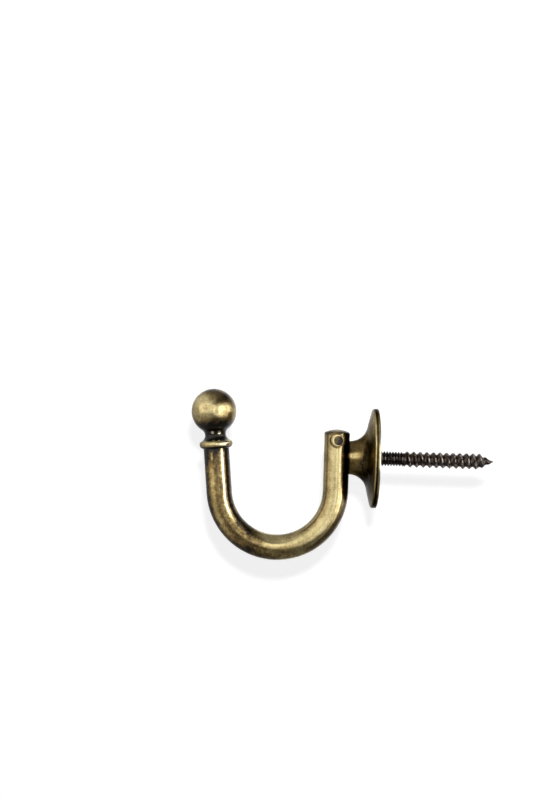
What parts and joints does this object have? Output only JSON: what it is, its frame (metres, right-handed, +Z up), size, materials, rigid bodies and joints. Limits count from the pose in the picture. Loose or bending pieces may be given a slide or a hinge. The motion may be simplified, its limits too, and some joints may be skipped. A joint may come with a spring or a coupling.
{
  "type": "curtain holdback",
  "caption": "Wall hook for holding back a curtain: a U-bent round bar with a ball end, on a trumpet-shaped rose, fixed by a wood-threaded hanger screw.",
  "frame": {"origin": "middle of the rose's flat back, on the screw axis, where the part meets the wall", "axes": "+X along the screw into the wall, so the hook stands out towards -X; +Z up; the U lies in the XZ plane"},
  "size_m": [0.0842, 0.0274, 0.047],
  "materials": {
    "antique_brass": "antique brass: dark patina rubbed back to brass on the high places, satin",
    "bronzed_steel": "dark bronze plating, worn to light metal on the thread crests"
  },
  "bodies": {
    "root": {"hook": "antique_brass", "rose": "antique_brass", "hanger_screw": "bronzed_steel"}
  },
  "joints": []
}
